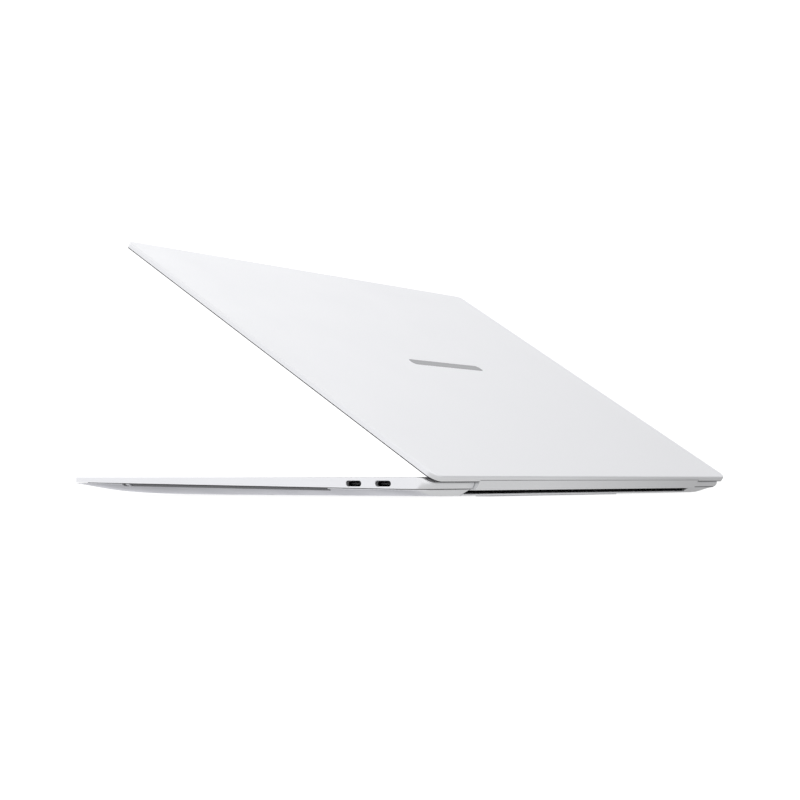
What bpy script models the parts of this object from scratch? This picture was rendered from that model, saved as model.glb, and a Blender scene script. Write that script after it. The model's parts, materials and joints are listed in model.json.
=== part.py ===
"""A thin laptop computer, opened about 32 degrees.

Frame: the origin is on the table under the middle of the closed computer, +X is the user's right,
+Y points to the hinge side and +Z is up. Everything below is in millimetres until a mesh is made, and
heights of the base are measured from a datum plane that lies TABLE_Z under the table.
"""
import math

import bmesh
import bpy
from mathutils import Matrix, Vector

MM = 0.001

# ---- driving dimensions, in millimetres and degrees ----
WIDTH = 310.0
DEPTH = 222.0
FRONT_RADIUS = 3.5            # plan corners, of base and lid alike
REAR_RADIUS = 6.0
GAP = 0.3                     # clearance between separate pieces
TABLE_Z = 0.6                 # height of the table above the datum plane
BOTTOM_Z = 1.3                # the flat bottom, carried clear of the table by the feet
DECK_Z = 10.0
DECK_THICKNESS = 1.1
CASE_WALL = 1.8
LID_GAP = 0.35                # between the deck and the closed lid
LID_THICKNESS = 3.15
LID_OPENING = 32.45
HINGE_BACK = 4.4              # from the hinge axis to the lid's rear face
HINGE_Z = 7.3
HINGE_HALF_WIDTH = 117.5      # half the length of the hinge cover
HINGE_BARREL = 3.4

WALL_FOOT_REAR = 4.7          # lower edge of the side wall at the back
WALL_SLOPE_START = 94.0       # ahead of here that edge rises towards the front
WALL_SLOPE = 0.0133
SEAM = 0.35                   # between the side wall and the bottom cover
COVER_LIP = 0.2               # depth of the bottom cover's upright rim
COVER_THICKNESS = 1.0
BELLY_RISE = 5.0              # how far the underside sweeps up towards the front edge
BELLY_LENGTH = 19.0
TAPER_FRONT = 16.0            # width of the underside's taper along the sides, at the front
TAPER_REAR = 24.0             # and at the back
REAR_TAPER_START = 101.1
REAR_TAPER_SLOPE = 0.53
COVER_REAR = 106.6

PORT_Z = 7.0
PORT_WIDTH = 8.5
PORT_HEIGHT = 2.5
PORT_FRONT_Y = 68.2
PORT_REAR_Y = 84.5
SPEAKER_SLOT = (-71.0, 53.6)
SPEAKER_HOLE = (-76.1, -73.3)
SPEAKER_SLOT_HEIGHT = 1.0

KEY_PITCH = 18.7
KEY_ROW = 17.6
KEY_TOP_ROW = 12.0
KEY_SPACE = 2.4               # between neighbouring keycaps
KEYBOARD_BACK = 88.0
KEY_TOP_Z = 10.05
KEY_BOTTOM_Z = 8.1
KEY_ROW_UNITS = 15.0
TOUCHPAD_SIZE = (120.0, 78.0)
TOUCHPAD_BACK = -20.0

FOOT_ROWS = {"foot_front": -52.0, "foot_rear": 82.0}
FOOT_HALF_LENGTH = 70.0
FOOT_HALF_WIDTH = 4.0
FOOT_TOP = 1.4                # each foot strip sits in a shallow bed in the bottom cover

FAN_CENTRE = (92.0, 69.0)
FAN_RADIUS = 22.0
FAN_BLADES = 17
BOARD_Z = 2.9

# ---- sizes that follow from them ----
HALF_WIDTH = WIDTH / 2
FRONT = -DEPTH / 2
REAR = DEPTH / 2
HINGE_Y = REAR - HINGE_BACK
DECK_BACK_RADIUS = DECK_Z - HINGE_Z
LID_LOW = DECK_Z + LID_GAP - HINGE_Z
LID_HIGH = LID_LOW + LID_THICKNESS
LID_FRONT = FRONT - HINGE_Y
CASE_INSIDE_Z = DECK_Z - DECK_THICKNESS
KEYBOARD_HALF = KEY_ROW_UNITS * KEY_PITCH / 2
KEYBOARD_FRONT = KEYBOARD_BACK - KEY_TOP_ROW - 5 * KEY_ROW
HINGE_RECESS = HINGE_HALF_WIDTH + GAP


# ---- outlines ----

def arc(centre, radius, start, end, steps):
    """Points on an arc, angles in degrees, both ends included."""
    points = []
    for step in range(steps + 1):
        angle = math.radians(start + (end - start) * step / steps)
        points.append((centre[0] + radius * math.cos(angle), centre[1] + radius * math.sin(angle)))
    return points


def rounded_rectangle(x0, x1, y0, y1, radius, steps=4, rear_radius=None):
    """A rectangle with round corners, counter-clockwise. The two at high y can have their own radius."""
    rear = rear_radius or radius
    corners = [(x1 - radius, y0 + radius, radius, -90), (x1 - rear, y1 - rear, rear, 0),
               (x0 + rear, y1 - rear, rear, 90), (x0 + radius, y0 + radius, radius, 180)]
    points = []
    for x, y, size, start in corners:
        points += arc((x, y), size, start, start + 90, steps)
    return points


def rectangle(x0, x1, y0, y1):
    return [(x0, y0), (x1, y0), (x1, y1), (x0, y1)]


def stadium(centre, width, height, steps=6):
    """A slot outline: a rectangle with fully round ends, the width along the first axis."""
    reach = (width - height) / 2
    right = arc((centre[0] + reach, centre[1]), height / 2, -90, 90, steps)
    left = arc((centre[0] - reach, centre[1]), height / 2, 90, 270, steps)
    return right + left


def circle(centre, radius, steps=24):
    return arc(centre, radius, 0, 360, steps)[:-1]


def wall_foot(y):
    """Height of the side wall's lower edge."""
    return WALL_FOOT_REAR + max(0.0, WALL_SLOPE_START - y) * WALL_SLOPE


def belly(y):
    """Height of the middle of the underside, which sweeps up at the front and slants up at the back."""
    sweep = BOTTOM_Z + BELLY_RISE * math.exp(-(y - FRONT) / BELLY_LENGTH)
    slant = BOTTOM_Z + max(0.0, y - REAR_TAPER_START) * REAR_TAPER_SLOPE
    return max(sweep, slant)


# ---- solids ----

def along(axis, point, level):
    """A 3-D point from a 2-D outline point and its level along an axis."""
    if axis == "X":
        return Vector((level, point[0], point[1]))
    if axis == "Y":
        return Vector((point[0], level, point[1]))
    return Vector((point[0], point[1], level))


def add_stack(bm, rings):
    """One closed solid through rings with equal numbers of points, capped at both ends."""
    loops = [[bm.verts.new(point) for point in ring] for ring in rings]
    faces = []
    for lower, upper in zip(loops, loops[1:]):
        count = len(lower)
        for i in range(count):
            j = (i + 1) % count
            faces.append(bm.faces.new((lower[i], lower[j], upper[j], upper[i])))
    faces.append(bm.faces.new(loops[0][::-1]))
    faces.append(bm.faces.new(loops[-1]))
    bmesh.ops.recalc_face_normals(bm, faces=faces)


def add_prism(bm, axis, outline, low, high):
    add_stack(bm, [[along(axis, p, low) for p in outline], [along(axis, p, high) for p in outline]])


def add_box(bm, x, y, z):
    add_prism(bm, "Z", rectangle(x[0], x[1], y[0], y[1]), z[0], z[1])


def mirrored(side, pair):
    """A range of x on the right, or its mirror image on the left."""
    low, high = pair
    return (low, high) if side > 0 else (-high, -low)


def make_object(name, bm, colour, origin=(0.0, 0.0, 0.0), parent=None, smooth=None):
    """An object from a bmesh in millimetres, with its own origin, material and parent."""
    bmesh.ops.transform(bm, matrix=Matrix.Translation(-Vector(origin)), verts=bm.verts)
    bmesh.ops.transform(bm, matrix=Matrix.Scale(MM, 4), verts=bm.verts)
    mesh = bpy.data.meshes.new(name)
    bm.to_mesh(mesh)
    bm.free()
    if smooth:
        mesh.shade_smooth()
        mesh.set_sharp_from_angle(angle=math.radians(smooth))
    obj = bpy.data.objects.new(name, mesh)
    drop = 0.0 if parent else TABLE_Z
    obj.location = (Vector(origin) - Vector((0.0, 0.0, drop))) * MM
    obj.parent = parent
    bpy.context.scene.collection.objects.link(obj)
    if colour:
        mesh.materials.append(plain_material(name, *colour))
    return obj


def plain_material(name, rgb, roughness, metallic):
    material = bpy.data.materials.new(name)
    material.use_nodes = True
    shader = material.node_tree.nodes["Principled BSDF"]
    shader.inputs["Base Color"].default_value = (*rgb, 1.0)
    shader.inputs["Roughness"].default_value = roughness
    shader.inputs["Metallic"].default_value = metallic
    return material


def combine(target, bm, operation, parent=None):
    """A Boolean modifier whose other operand is a hidden guide object."""
    guide = make_object(f"{operation.lower()}_guide_{len(bpy.data.objects)}", bm, None, parent=parent)
    guide.hide_render = True
    guide.display_type = "WIRE"
    modifier = target.modifiers.new(operation.lower(), "BOOLEAN")
    modifier.operation = operation
    modifier.object = guide


def prism(axis, outline, low, high):
    bm = bmesh.new()
    add_prism(bm, axis, outline, low, high)
    return bm


def box(x, y, z):
    return prism("Z", rectangle(x[0], x[1], y[0], y[1]), z[0], z[1])


# ---- colours: RGB, roughness, metallic ----
SATIN_WHITE = ((0.90, 0.90, 0.91), 0.42, 0.6)
BLACK = ((0.012, 0.012, 0.013), 0.5, 0.0)
DARK_GREY = ((0.06, 0.06, 0.065), 0.5, 0.0)
STEEL = ((0.62, 0.62, 0.63), 0.3, 1.0)
COPPER = ((0.72, 0.38, 0.22), 0.3, 1.0)
BOARD = ((0.02, 0.05, 0.04), 0.5, 0.0)
FOIL = ((0.07, 0.07, 0.08), 0.6, 0.0)
PALE_RUBBER = ((0.72, 0.72, 0.73), 0.8, 0.0)
GLASS = ((0.01, 0.01, 0.012), 0.06, 0.0)
KEYCAP = ((0.86, 0.86, 0.87), 0.5, 0.0)


# ---- base shell ----

def hinge_pocket_outline(near, far, front, back):
    """The hollow inside a rear corner: round at the outer corner, square beside the hinge."""
    radius = REAR_RADIUS - CASE_WALL
    return [(near, front), (far, front)] + arc((far - radius, back - radius), radius, 0, 90, 4) + [(near, back)]


def make_top_case():
    """Deck and side walls in one piece, with round-backed corner blocks beside the hinge."""
    edge = 0.4
    levels = [(107.8, 0.0, 0.0), (107.8, WALL_FOOT_REAR, 0.0), (108.2, 5.0, 0.0)]
    levels += [(y, z, 0.0) for y, z in arc((HINGE_Y, HINGE_Z), DECK_BACK_RADIUS, -40, 58, 6)]
    levels += [(HINGE_Y, DECK_Z, edge)]
    rings = []
    for rear, z, inset in levels:
        plan = rounded_rectangle(inset - HALF_WIDTH, HALF_WIDTH - inset, FRONT + inset, rear,
                                 FRONT_RADIUS - inset, 6, REAR_RADIUS - inset)
        rings.append([along("Z", p, z) for p in plan])
    solid = bmesh.new()
    add_stack(solid, rings)
    case = make_object("top_case", solid, SATIN_WHITE)
    below = [(FRONT - 5, -1.0), (REAR + 5, -1.0), (REAR + 5, WALL_FOOT_REAR),
             (WALL_SLOPE_START, WALL_FOOT_REAR), (FRONT - 5, wall_foot(FRONT - 5))]
    combine(case, prism("X", below, -HALF_WIDTH - 5, HALF_WIDTH + 5), "DIFFERENCE")

    inside = HALF_WIDTH - CASE_WALL
    cavity = rounded_rectangle(-inside, inside, FRONT + CASE_WALL, 98.8, FRONT_RADIUS - CASE_WALL)
    combine(case, prism("Z", cavity, 0.0, CASE_INSIDE_Z), "DIFFERENCE")
    recess = [(98.0, -1.0), (98.0, 5.8), (101.5, 5.8), (101.5, CASE_INSIDE_Z), (102.9, CASE_INSIDE_Z),
              (102.9, 12.0), (115.0, 12.0), (115.0, -1.0)]
    combine(case, prism("X", recess, -HINGE_RECESS, HINGE_RECESS), "DIFFERENCE")
    for side_sign in (-1, 1):
        pocket = hinge_pocket_outline(HINGE_RECESS + 1.5, inside, 98.0, 107.3)
        outline = [(side_sign * x, y) for x, y in pocket]
        combine(case, prism("Z", outline, 0.0, 8.6), "DIFFERENCE")
        bore = mirrored(side_sign, (HINGE_RECESS - 1.0, 122.4))
        combine(case, prism("X", circle((HINGE_Y, HINGE_Z), 1.6, 16), *bore), "DIFFERENCE")

    margin = 1.15
    keys = rounded_rectangle(-KEYBOARD_HALF - margin, KEYBOARD_HALF + margin,
                             KEYBOARD_FRONT - margin, KEYBOARD_BACK + margin, 2.0, 3)
    combine(case, prism("Z", keys, 8.0, 11.0), "DIFFERENCE")
    half_pad = TOUCHPAD_SIZE[0] / 2 + GAP
    pad = rounded_rectangle(-half_pad, half_pad, TOUCHPAD_BACK - TOUCHPAD_SIZE[1] - GAP,
                            TOUCHPAD_BACK + GAP, 3.3, 3)
    combine(case, prism("Z", pad, 8.0, 11.0), "DIFFERENCE")

    thumb_notch = arc((0.0, FRONT - 60.0), 62.2, 60, 120, 12)
    combine(case, prism("Z", thumb_notch, 8.9, 11.0), "DIFFERENCE")

    for y, sign in ((PORT_FRONT_Y, 1), (PORT_REAR_Y, 1), (PORT_REAR_Y, -1)):
        opening = stadium((y, PORT_Z), PORT_WIDTH, PORT_HEIGHT)
        combine(case, prism("X", opening, *mirrored(sign, (150.0, 158.0))), "DIFFERENCE")


def cover_rows():
    """The y of each cross row of the bottom cover."""
    corner = [FRONT + FRONT_RADIUS * (1 - math.cos(math.radians(angle))) for angle in range(0, 90, 18)]
    sweep = [FRONT + FRONT_RADIUS + 9.5 * step for step in range(8)]
    rear_radius = COVER_REAR - REAR_TAPER_START
    back = [COVER_REAR - rear_radius * (1 - math.sin(math.radians(angle))) for angle in range(0, 91, 30)]
    return corner + sweep + [0.0, WALL_SLOPE_START] + back


def cover_half_width(y):
    front_reach = max(0.0, FRONT + FRONT_RADIUS - y)
    rear_radius = COVER_REAR - REAR_TAPER_START
    rear_reach = max(0.0, y - REAR_TAPER_START)
    front_cut = FRONT_RADIUS - math.sqrt(FRONT_RADIUS ** 2 - front_reach ** 2)
    rear_cut = rear_radius - math.sqrt(max(0.0, rear_radius ** 2 - rear_reach ** 2))
    return HALF_WIDTH - front_cut - rear_cut


def taper_width(y):
    return TAPER_FRONT + (TAPER_REAR - TAPER_FRONT) * (y - FRONT) / DEPTH


def cover_heights(y, inset):
    """Underside and inner height of the bottom cover, at a distance in from its side edge."""
    lip = wall_foot(y) - SEAM - COVER_LIP
    floor = min(belly(y), lip)
    taper = 1 - (1 - min(inset / taper_width(y), 1.0)) ** 2
    under = lip + (floor - lip) * taper
    return under, min(under + COVER_THICKNESS, wall_foot(y) - SEAM)


def make_bottom_cover():
    """A dished tray whose rim meets the side walls at a narrow seam."""
    bm = bmesh.new()
    under_rows = []
    inner_rows = []
    for y in cover_rows():
        half = cover_half_width(y)
        insets = [share * taper_width(y) for share in (0.0, 0.07, 0.18, 0.36, 0.62, 1.0)] + [40.0]
        columns = [(-half + inset, inset) for inset in insets]
        columns += [(half - inset, inset) for inset in reversed(insets)]
        under_rows.append([bm.verts.new((x, y, cover_heights(y, inset)[0])) for x, inset in columns])
        inner_rows.append([bm.verts.new((x, y, cover_heights(y, inset)[1])) for x, inset in columns])
    last_row = len(under_rows) - 1
    last_column = len(under_rows[0]) - 1
    for rows in (under_rows, inner_rows):
        for i in range(last_row):
            for j in range(last_column):
                bm.faces.new((rows[i][j], rows[i][j + 1], rows[i + 1][j + 1], rows[i + 1][j]))
    rim = [(0, j) for j in range(last_column)]
    rim += [(i, last_column) for i in range(last_row)]
    rim += [(last_row, j) for j in range(last_column, 0, -1)]
    rim += [(i, 0) for i in range(last_row, 0, -1)]
    for (i, j), (k, m) in zip(rim, rim[1:] + rim[:1]):
        bm.faces.new((under_rows[i][j], under_rows[k][m], inner_rows[k][m], inner_rows[i][j]))
    bmesh.ops.recalc_face_normals(bm, faces=bm.faces)
    cover = make_object("bottom_cover", bm, SATIN_WHITE)

    combine(cover, box((-HINGE_RECESS, HINGE_RECESS), (101.0, 110.0), (0.0, 8.0)), "DIFFERENCE")
    lip_half = HINGE_RECESS - 0.2
    combine(cover, box((-lip_half, lip_half), (96.0, 103.5), (1.32, 2.36)), "UNION")
    for sign in (-1, 1):
        for (start, end), inner_x in ((SPEAKER_SLOT, 149.0), (SPEAKER_HOLE, 150.0)):
            drop = SEAM + SPEAKER_SLOT_HEIGHT
            slot = [(start, wall_foot(start) - drop), (end, wall_foot(end) - drop),
                    (end, wall_foot(end) + 1), (start, wall_foot(start) + 1)]
            combine(cover, prism("X", slot, *mirrored(sign, (inner_x, 158.0))), "DIFFERENCE")
    for y in FOOT_ROWS.values():
        bed = rounded_rectangle(-FOOT_HALF_LENGTH - GAP, FOOT_HALF_LENGTH + GAP,
                                y - FOOT_HALF_WIDTH - GAP, y + FOOT_HALF_WIDTH + GAP, FOOT_HALF_WIDTH)
        combine(cover, prism("Z", bed, -1.0, FOOT_TOP + GAP), "DIFFERENCE")


def make_feet():
    for name, y in FOOT_ROWS.items():
        outline = rounded_rectangle(-FOOT_HALF_LENGTH, FOOT_HALF_LENGTH,
                                    y - FOOT_HALF_WIDTH, y + FOOT_HALF_WIDTH, FOOT_HALF_WIDTH - 0.2, 5)
        make_object(name, prism("Z", outline, TABLE_Z, FOOT_TOP), PALE_RUBBER)


def make_vent_grille():
    """A black bar with upright slots, between the bottom cover's rear lip and the case."""
    half = 116.0
    low, high = 2.66, 5.45
    bar = make_object("vent_grille", box((-half, half), (98.0, 101.2), (low, high)), BLACK)
    slots = bmesh.new()
    pitch = 7.7
    slot_half = 3.2
    count = int(2 * (half - 2) / pitch)
    for index in range(count):
        x = (index - (count - 1) / 2) * pitch
        add_box(slots, (x - slot_half, x + slot_half), (97.0, 102.0), (low + 0.5, high - 0.5))
    combine(bar, slots, "DIFFERENCE")


# ---- keyboard and touchpad ----

def key_layout():
    """Every key node: name, row front, row height, first unit, list of key widths in units."""
    row_front = KEYBOARD_BACK - KEY_TOP_ROW
    rows = [[("key_escape", [1.5]), ("keys_function_row", [1.0] * 12), ("power_button", [1.5])],
            [("keys_number_row", [1.0] * 13), ("key_backspace", [2.0])],
            [("key_tab", [1.5]), ("keys_upper_letter_row", [1.0] * 12 + [1.5])],
            [("key_caps_lock", [1.75]), ("keys_home_letter_row", [1.0] * 11), ("key_enter", [2.25])],
            [("key_shift_left", [2.25]), ("keys_lower_letter_row", [1.0] * 10), ("key_shift_right", [2.75])],
            [("keys_modifiers_left", [1.0, 1.0, 1.0, 1.25]), ("key_space", [5.5]),
             ("keys_modifiers_right", [1.25, 1.0])]]
    keys = []
    for index, row in enumerate(rows):
        height = KEY_ROW if index else KEY_TOP_ROW
        unit = 0.0
        for name, widths in row:
            keys.append((name, row_front, height, unit, widths))
            unit += sum(widths)
        row_front -= KEY_ROW
    half_row = KEY_ROW / 2
    arrows = [("key_arrow_left", 12.0, 0), ("key_arrow_down", 13.0, 0), ("key_arrow_right", 14.0, 0),
              ("key_arrow_up", 13.0, 1)]
    for name, unit, upper in arrows:
        keys.append((name, KEYBOARD_FRONT + half_row * upper, half_row, unit, [1.0]))
    return keys


def key_rectangles(front, height, unit, widths):
    """The keycap outlines of one node, each shrunk by half the space to its neighbours."""
    shrink = KEY_SPACE / 2
    boxes = []
    for width in widths:
        x = -KEYBOARD_HALF + unit * KEY_PITCH
        boxes.append((x + shrink, x + width * KEY_PITCH - shrink, front + shrink, front + height - shrink))
        unit += width
    return boxes


def add_keycap(bm, x0, x1, y0, y1):
    """A cap with upright sides and a narrow sloping edge round its flat top."""
    edge = 0.45
    levels = [(KEY_BOTTOM_Z, 0.0), (KEY_TOP_Z - edge, 0.0), (KEY_TOP_Z, edge)]
    rings = []
    for z, inset in levels:
        outline = rectangle(x0 + inset, x1 - inset, y0 + inset, y1 - inset)
        rings.append([along("Z", p, z) for p in outline])
    add_stack(bm, rings)


def make_keys():
    for name, front, height, unit, widths in key_layout():
        boxes = key_rectangles(front, height, unit, widths)
        middle_x = (boxes[0][0] + boxes[-1][1]) / 2
        middle_y = (boxes[0][2] + boxes[0][3]) / 2
        caps = bmesh.new()
        for x0, x1, y0, y1 in boxes:
            add_keycap(caps, x0, x1, y0, y1)
        keys = make_object(name, caps, KEYCAP, origin=(middle_x, middle_y, KEY_BOTTOM_Z))
        if len(boxes) > 1:
            web = box((boxes[0][0] + 2, boxes[-1][1] - 2), (middle_y - 1.5, middle_y + 1.5),
                      (KEY_BOTTOM_Z + 0.05, KEY_BOTTOM_Z + 0.4))
            combine(keys, web, "UNION")


def make_keyboard_layers():
    """The ribbed frame between the keycaps, the switch membrane and the back plate."""
    margin = 0.85
    outline = rounded_rectangle(-KEYBOARD_HALF - margin, KEYBOARD_HALF + margin,
                                KEYBOARD_FRONT - margin, KEYBOARD_BACK + margin, 1.7, 3)
    frame = make_object("keyboard_frame", prism("Z", outline, 8.8, 9.3), DARK_GREY)
    holes = bmesh.new()
    clearance = 0.35
    for name, front, height, unit, widths in key_layout():
        for x0, x1, y0, y1 in key_rectangles(front, height, unit, widths):
            add_box(holes, (x0 - clearance, x1 + clearance), (y0 - clearance, y1 + clearance), (8.0, 10.0))
    combine(frame, holes, "DIFFERENCE")
    make_object("keyboard_membrane", prism("Z", outline, 6.6, 6.85), DARK_GREY)
    make_object("keyboard_backplate", prism("Z", outline, 5.9, 6.3), STEEL)


def make_touchpad():
    """A glass-topped plate that tips down at its front, hinged along its rear edge."""
    half = TOUCHPAD_SIZE[0] / 2
    front = TOUCHPAD_BACK - TOUCHPAD_SIZE[1]
    edge = 0.2
    rings = []
    for z, inset in ((8.45, 0.0), (9.95 - edge, 0.0), (9.95, edge)):
        outline = rounded_rectangle(-half + inset, half - inset, front + inset, TOUCHPAD_BACK - inset,
                                    3.0 - inset, 3)
        rings.append([along("Z", p, z) for p in outline])
    bm = bmesh.new()
    add_stack(bm, rings)
    make_object("touchpad", bm, KEYCAP, origin=(0.0, TOUCHPAD_BACK, 9.2))


# ---- parts inside the base ----

def make_boards():
    """Main circuit board with its processor, storage and wireless modules."""
    make_object("mainboard", box((-68.0, 68.0), (40.0, 92.5), (BOARD_Z, BOARD_Z + 0.8)), BOARD)
    make_object("processor", box((-14.0, 14.0), (56.0, 78.0), (4.0, 4.6)), DARK_GREY)
    make_object("storage_module", box((24.0, 66.0), (50.0, 72.0), (4.0, 5.3)), BOARD)
    make_object("wireless_module", box((-46.0, -24.0), (50.0, 66.0), (4.0, 5.2)), STEEL)


def make_cooling():
    """Two blowers feed fin stacks along the rear vent; a copper T carries the processor's heat to them."""
    centre_x, centre_y = FAN_CENTRE
    fin_half = FAN_RADIUS
    fin_front, fin_back = 93.2, 97.6
    reach = centre_x + fin_half
    pipe = [(-12.0, 52.0), (12.0, 52.0), (12.0, fin_front), (reach, fin_front), (reach, fin_back),
            (-reach, fin_back), (-reach, fin_front), (-12.0, fin_front)]
    make_object("heat_pipe", prism("Z", pipe, 4.9, 5.6), COPPER)
    for sign, side in ((-1, "left"), (1, "right")):
        x = sign * centre_x
        make_fan(side, x, centre_y)
        comb = []
        fins = 17
        pitch = 2 * fin_half / fins
        for index in range(fins):
            start = x - fin_half + index * pitch
            comb += [(start, 3.2), (start, 4.6), (start + 0.6, 4.6), (start + 0.6, 3.2)]
        comb += [(comb[-1][0], 2.75), (comb[0][0], 2.75)]
        make_object(f"fin_stack_{side}", prism("Y", comb[::-1], fin_front, fin_back), COPPER)


def make_fan(side, x, y):
    """A flat blower housing, open at its round inlet and at its rear outlet, with a bladed rotor."""
    low, high = 2.75, 5.55
    skin = 0.4
    wall = 1.2
    housing = arc((x, y), FAN_RADIUS, 180, 360, 24) + [(x + FAN_RADIUS, 92.8), (x - FAN_RADIUS, 92.8)]
    inner_radius = FAN_RADIUS - wall
    chamber = arc((x, y), inner_radius, 180, 360, 24)
    chamber += [(x + inner_radius, 95.0), (x - inner_radius, 95.0)]
    fan = make_object(f"fan_housing_{side}", prism("Z", housing, low, high), BLACK, smooth=30)
    combine(fan, prism("Z", chamber, low + skin, high - skin), "DIFFERENCE")
    combine(fan, prism("Z", circle((x, y), 12.0), high - 1.0, high + 1.0), "DIFFERENCE")
    combine(fan, prism("Z", circle((x, y), 1.0, 12), low + 0.1, high - 0.3), "UNION")

    tip, root = 18.5, 7.0
    star = []
    step = 2 * math.pi / FAN_BLADES
    for blade in range(FAN_BLADES):
        angle = blade * step
        for radius, lead in ((root, -0.30), (root, -0.05), (tip, 0.10), (tip, 0.16)):
            star.append((x + radius * math.cos(angle + lead), y + radius * math.sin(angle + lead)))
    rotor = make_object(f"fan_rotor_{side}", prism("Z", star, 3.5, 4.8), DARK_GREY, origin=(x, y, 3.5))
    combine(rotor, prism("Z", circle((x, y), 1.35, 12), 3.0, 6.0), "DIFFERENCE")


def make_batteries():
    cells = {"battery_left": (-135.0, -47.0), "battery_centre": (-44.0, 44.0), "battery_right": (47.0, 135.0)}
    for name, x in cells.items():
        outline = rounded_rectangle(x[0], x[1], -92.0, -18.0, 2.0, 3)
        make_object(name, prism("Z", outline, 4.9, 7.7), FOIL)


def make_speakers():
    for sign, side in ((-1, "left"), (1, "right")):
        x0, x1 = mirrored(sign, (143.5, 150.5))
        outline = rounded_rectangle(x0, x1, -66.0, 50.0, 1.5, 3)
        make_object(f"speaker_{side}", prism("Z", outline, 6.2, 8.4), DARK_GREY)


def make_ports():
    """Reversible data and charging sockets: a steel shell with a tongue, open to the outside."""
    ports = [("port_right_front", PORT_FRONT_Y, 1), ("port_right_rear", PORT_REAR_Y, 1),
             ("port_left", PORT_REAR_Y, -1)]
    skin = 0.4
    for name, y, sign in ports:
        outer = stadium((y, PORT_Z), PORT_WIDTH + 2 * skin, PORT_HEIGHT + 2 * skin)
        shell = make_object(name, prism("X", outer, *mirrored(sign, (146.5, 152.9))), STEEL)
        inner = stadium((y, PORT_Z), PORT_WIDTH, PORT_HEIGHT)
        combine(shell, prism("X", inner, *mirrored(sign, (147.3, 155.0))), "DIFFERENCE")
        tongue = box(mirrored(sign, (146.9, 151.6)), (y - 3.3, y + 3.3), (PORT_Z - 0.35, PORT_Z + 0.35))
        combine(shell, tongue, "UNION")
    for sign, side in ((-1, "left"), (1, "right")):
        plate = box(mirrored(sign, (142.5, 150.0)), (58.0, 94.0), (4.65, 5.05))
        make_object(f"port_board_{side}", plate, BOARD)


# ---- hinge ----

def make_hinge_brackets():
    """A plate under each corner of the deck, carrying the steel pin that the lid turns on."""
    for sign, side in ((-1, "left"), (1, "right")):
        plate = box(mirrored(sign, (121.0, 143.0)), (91.0, 101.0), (7.6, 8.3))
        bracket = make_object(f"hinge_bracket_{side}", plate, STEEL)
        arm = box(mirrored(sign, (121.0, 125.0)), (99.0, 107.0), (6.2, 8.2))
        combine(bracket, arm, "UNION")
        pin = prism("X", circle((HINGE_Y, HINGE_Z), 1.2, 16), *mirrored(sign, (105.5, 122.0)))
        combine(bracket, pin, "UNION")


def make_hinge_arms(axis):
    """A friction sleeve round each pin, with a foot fastened inside the lid."""
    for sign, side in ((-1, "left"), (1, "right")):
        sleeve = prism("X", circle((0.0, 0.0), 2.4, 20), *mirrored(sign, (104.5, 116.0)))
        arm = make_object(f"hinge_arm_{side}", sleeve, STEEL, parent=axis)
        leaf = box(mirrored(sign, (105.0, 115.5)), (-1.6, 1.6), (1.7, 4.7))
        foot = box(mirrored(sign, (88.0, 115.8)), (-5.5, 3.0), (4.3, 4.9))
        combine(arm, leaf, "UNION", parent=axis)
        combine(arm, foot, "UNION", parent=axis)
        bore = prism("X", circle((0.0, 0.0), 1.5, 16), *mirrored(sign, (100.0, 120.0)))
        combine(arm, bore, "DIFFERENCE", parent=axis)


def hinge_cover_outline(barrel, back, front, bottom, top):
    """Cross-section (y, z) of the hinge cover: a flat back, a slanting bottom and a round barrel."""
    reach = math.hypot(back, bottom)
    tangent = math.degrees(math.atan2(bottom, back) - math.acos(barrel / reach))
    return [(back, top), (back, bottom)] + arc((0.0, 0.0), barrel, tangent, -180.0, 10) + [(front, top)]


def make_hinge_cover(axis):
    """The strip between lid and base, a channel open towards the lid with a closed wall at each end."""
    top = 4.0
    outer = hinge_cover_outline(HINGE_BARREL, HINGE_BACK, -HINGE_BARREL, -1.24, top)
    cover = make_object("hinge_cover", prism("X", outer, -HINGE_HALF_WIDTH, HINGE_HALF_WIDTH),
                        SATIN_WHITE, parent=axis, smooth=40)
    skin = 0.6
    inner = hinge_cover_outline(HINGE_BARREL - skin, HINGE_BACK - skin, skin - HINGE_BARREL, -0.86, top + 1)
    inner_half = HINGE_HALF_WIDTH - 1.1
    combine(cover, prism("X", inner, -inner_half, inner_half), "DIFFERENCE", parent=axis)
    for sign in (-1, 1):
        bore = prism("X", circle((0.0, 0.0), 1.5, 16), *mirrored(sign, (inner_half - 1, inner_half + 3)))
        combine(cover, bore, "DIFFERENCE", parent=axis)


# ---- lid: its parts are modelled closed, measured from the hinge axis ----

def lid_outline(inset, steps=6):
    return rounded_rectangle(-HALF_WIDTH + inset, HALF_WIDTH - inset, LID_FRONT + inset,
                             HINGE_BACK - inset, FRONT_RADIUS - inset, steps, REAR_RADIUS - inset)


def make_lid_cover(axis):
    """A shallow metal tray with softly rounded outer edges."""
    wall_low = LID_HIGH - 2.4
    rings = []
    for z, inset in ((wall_low, 0.0), (LID_HIGH - 0.8, 0.0), (LID_HIGH - 0.24, 0.22), (LID_HIGH, 0.8)):
        rings.append([along("Z", p, z) for p in lid_outline(inset)])
    bm = bmesh.new()
    add_stack(bm, rings)
    cover = make_object("lid_cover", bm, SATIN_WHITE, parent=axis)
    combine(cover, prism("Z", lid_outline(1.3), wall_low - 1, LID_HIGH - 1.0), "DIFFERENCE", parent=axis)
    notch = box((-HINGE_RECESS, HINGE_RECESS), (2.0, 8.0), (wall_low - 1, 4.3))
    combine(cover, notch, "DIFFERENCE", parent=axis)


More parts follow.
